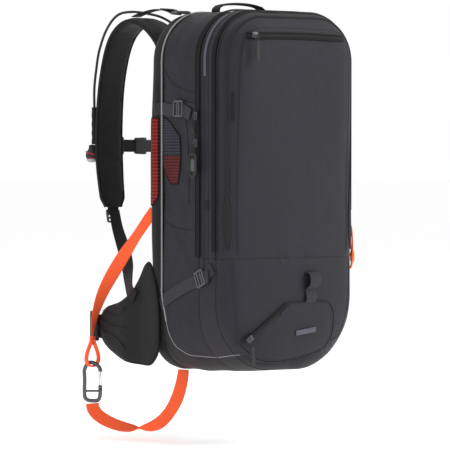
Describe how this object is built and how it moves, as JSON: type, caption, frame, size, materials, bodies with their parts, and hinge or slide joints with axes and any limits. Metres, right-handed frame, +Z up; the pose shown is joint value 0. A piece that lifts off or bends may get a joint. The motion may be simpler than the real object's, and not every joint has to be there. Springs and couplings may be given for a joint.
{
  "type": "avalanche airbag backpack",
  "caption": "Ski touring backpack with a fan-inflated avalanche airbag, hip belt, release handle and an orange leg strap with a carabiner.",
  "frame": {"origin": "foot of the centre line of the wearer's back plane", "axes": "+Y towards the wearer, +Z up, +X to the wearer's right"},
  "size_m": [0.3159, 0.4109, 0.6534],
  "materials": {
    "back_fabric": "woven, matt",
    "spacer_mesh": "3D spacer mesh",
    "body_fabric": "ripstop, matt",
    "grey_piping": "reflective piping",
    "red_mesh": "open mesh",
    "dark_mesh": "open mesh",
    "lining_fabric": "plain weave",
    "airbag_fabric": "coated, folded",
    "zip_tape": "coil zip",
    "dark_webbing": "woven webbing",
    "grey_webbing": "woven webbing",
    "orange_webbing": "woven webbing",
    "strap_fabric": "padded, woven",
    "black_plastic": "moulded",
    "grey_plastic": "moulded",
    "orange_plastic": "moulded",
    "zip_metal": "black coated",
    "anodised_grey": "anodised",
    "steel": "brushed",
    "bare_aluminium": "drawn",
    "rubber": "matt",
    "blue_sleeve": "shrink sleeve"
  },
  "bodies": {
    "pack": {"rear_shell": "back_fabric", "back_pads": "spacer_mesh", "lumbar_pad": "spacer_mesh", "frame_sheet": "black_plastic", "frame_stays": "bare_aluminium", "airbag": "airbag_fabric", "main_shell": "body_fabric", "lower_shell": "body_fabric", "piping": "grey_piping", "inlet_meshes": "red_mesh", "vent_meshes": "dark_mesh", "system_divider": "lining_fabric", "blower_housing": "black_plastic", "blower_cover": "black_plastic", "cover_screws": "steel", "motor": "steel", "inflation_duct": "rubber", "supercapacitors": "blue_sleeve", "battery_pack": "black_plastic", "control_unit": "black_plastic", "main_zip": "zip_tape", "lower_pocket": "body_fabric", "haul_loop": "dark_webbing", "ice_axe_loop": "dark_webbing", "compression_straps": "grey_webbing", "compression_locks": "grey_plastic", "shoulder_straps": "strap_fabric", "load_lifters": "dark_webbing", "lifter_locks": "grey_plastic", "strap_locks": "black_plastic", "strap_webbing": "dark_webbing", "handle_sleeve": "black_plastic", "release_cable": "black_plastic", "hip_fins": "back_fabric", "anchor_strap": "orange_webbing", "carabiner": "anodised_grey", "leg_strap": "orange_webbing"},
    "impeller": {"impeller": "grey_plastic"},
    "power_button": {"power_button": "orange_plastic"},
    "release_handle": {"release_handle": "black_plastic"},
    "main_flap": {"flap_shell": "body_fabric", "front_zip": "zip_tape"},
    "front_slider": {"front_slider": "zip_metal"},
    "front_pulls": {"front_pulls": "orange_plastic"},
    "front_panel": {"front_panel": "body_fabric", "top_pocket_zip": "zip_tape"},
    "top_slider": {"top_slider": "zip_metal"},
    "top_pull": {"top_pull": "black_plastic"},
    "main_slider_upper": {"main_slider_upper": "zip_metal"},
    "main_slider_lower": {"main_slider_lower": "zip_metal"},
    "main_pull_upper": {"main_pull_upper": "black_plastic"},
    "main_pull_lower": {"main_pull_lower": "black_plastic"},
    "pocket_slider": {"pocket_slider": "zip_metal"},
    "pocket_pull": {"pocket_pull": "black_plastic"},
    "sternum_strap": {"sternum_strap": "dark_webbing"},
    "hip_wing_left": {"hip_wing_left": "back_fabric", "hip_buckle_left": "black_plastic"},
    "hip_wing_right": {"hip_wing_right": "back_fabric", "hip_buckle_right": "black_plastic"},
    "carabiner_gate": {"carabiner_gate": "steel"}
  },
  "joints": [
    {"name": "impeller_spin", "type": "hinge", "parent": "pack", "child": "impeller", "pos_m": [0, -0.06, 0.345], "axis": [0, 1, 0], "continuous": true},
    {"name": "button_press", "type": "slide", "parent": "pack", "child": "power_button", "axis": [0, 1, 0], "range_m": [0, 0.0015], "stiffness_N_per_m": 600, "springref_m": -0.001},
    {"name": "handle_pull", "type": "slide", "parent": "pack", "child": "release_handle", "axis": [0, 0, -1], "range_m": [0, 0.012], "stiffness_N_per_m": 1500, "springref_m": -0.002},
    {"name": "main_flap_fold", "type": "hinge", "parent": "pack", "child": "main_flap", "pos_m": [0, -0.187, 0.172], "axis": [1, 0, 0], "range_deg": [0, 85]},
    {"name": "front_panel_fold", "type": "hinge", "parent": "main_flap", "child": "front_panel", "pos_m": [0, -0.187, 0.176], "axis": [1, 0, 0], "range_deg": [0, 45]},
    {"name": "main_slider_upper_slide", "type": "slide", "parent": "pack", "child": "main_slider_upper", "axis": [0, 0, 1], "range_m": [-0.008, 0.074]},
    {"name": "main_pull_upper_swing", "type": "hinge", "parent": "main_slider_upper", "child": "main_pull_upper", "pos_m": [-0.13985, -0.122, 0.38], "axis": [0, 1, 0], "range_deg": [0, 120]},
    {"name": "main_slider_lower_slide", "type": "slide", "parent": "pack", "child": "main_slider_lower", "axis": [0, 0, 1], "range_m": [-0.13, 0.004]},
    {"name": "main_pull_lower_swing", "type": "hinge", "parent": "main_slider_lower", "child": "main_pull_lower", "pos_m": [-0.1401, -0.122, 0.34], "axis": [0, 1, 0], "range_deg": [0, 120]},
    {"name": "front_slider_slide", "type": "slide", "parent": "main_flap", "child": "front_slider", "axis": [0, 0, 1], "range_m": [-0.03, 0.235]},
    {"name": "front_pulls_swing", "type": "hinge", "parent": "front_slider", "child": "front_pulls", "pos_m": [0.13585, -0.157, 0.217], "axis": [0, -1, 0], "range_deg": [0, 110]},
    {"name": "top_slider_slide", "type": "slide", "parent": "front_panel", "child": "top_slider", "axis": [1, 0, 0], "range_m": [0, 0.17]},
    {"name": "top_pull_swing", "type": "hinge", "parent": "top_slider", "child": "top_pull", "pos_m": [-0.082, -0.20365, 0.5], "axis": [-1, 0, 0], "range_deg": [0, 110]},
    {"name": "pocket_slider_slide", "type": "slide", "parent": "pack", "child": "pocket_slider", "axis": [0.8023, 0, 0.5969], "range_m": [0, 0.085]},
    {"name": "pocket_pull_swing", "type": "hinge", "parent": "pocket_slider", "child": "pocket_pull", "pos_m": [-0.088, -0.19945, 0.052], "axis": [-1, 0, 0], "range_deg": [0, 110]},
    {"name": "sternum_height", "type": "slide", "parent": "pack", "child": "sternum_strap", "axis": [0, 0, 1], "range_m": [-0.02, 0.02]},
    {"name": "hip_wing_left_fold", "type": "hinge", "parent": "pack", "child": "hip_wing_left", "pos_m": [-0.1362, 0.036, 0.05], "axis": [0, 0, -1], "range_deg": [0, 50]},
    {"name": "hip_wing_right_fold", "type": "hinge", "parent": "pack", "child": "hip_wing_right", "pos_m": [0.1362, 0.036, 0.05], "axis": [0, 0, 1], "range_deg": [0, 50]},
    {"name": "gate_swing", "type": "hinge", "parent": "pack", "child": "carabiner_gate", "pos_m": [-0.14654, 0.10261, -0.02878], "axis": [-0.6157, -0.788, 0], "range_deg": [0, 25], "stiffness_Nm_per_rad": 0.02, "springref_deg": -5.73}
  ]
}
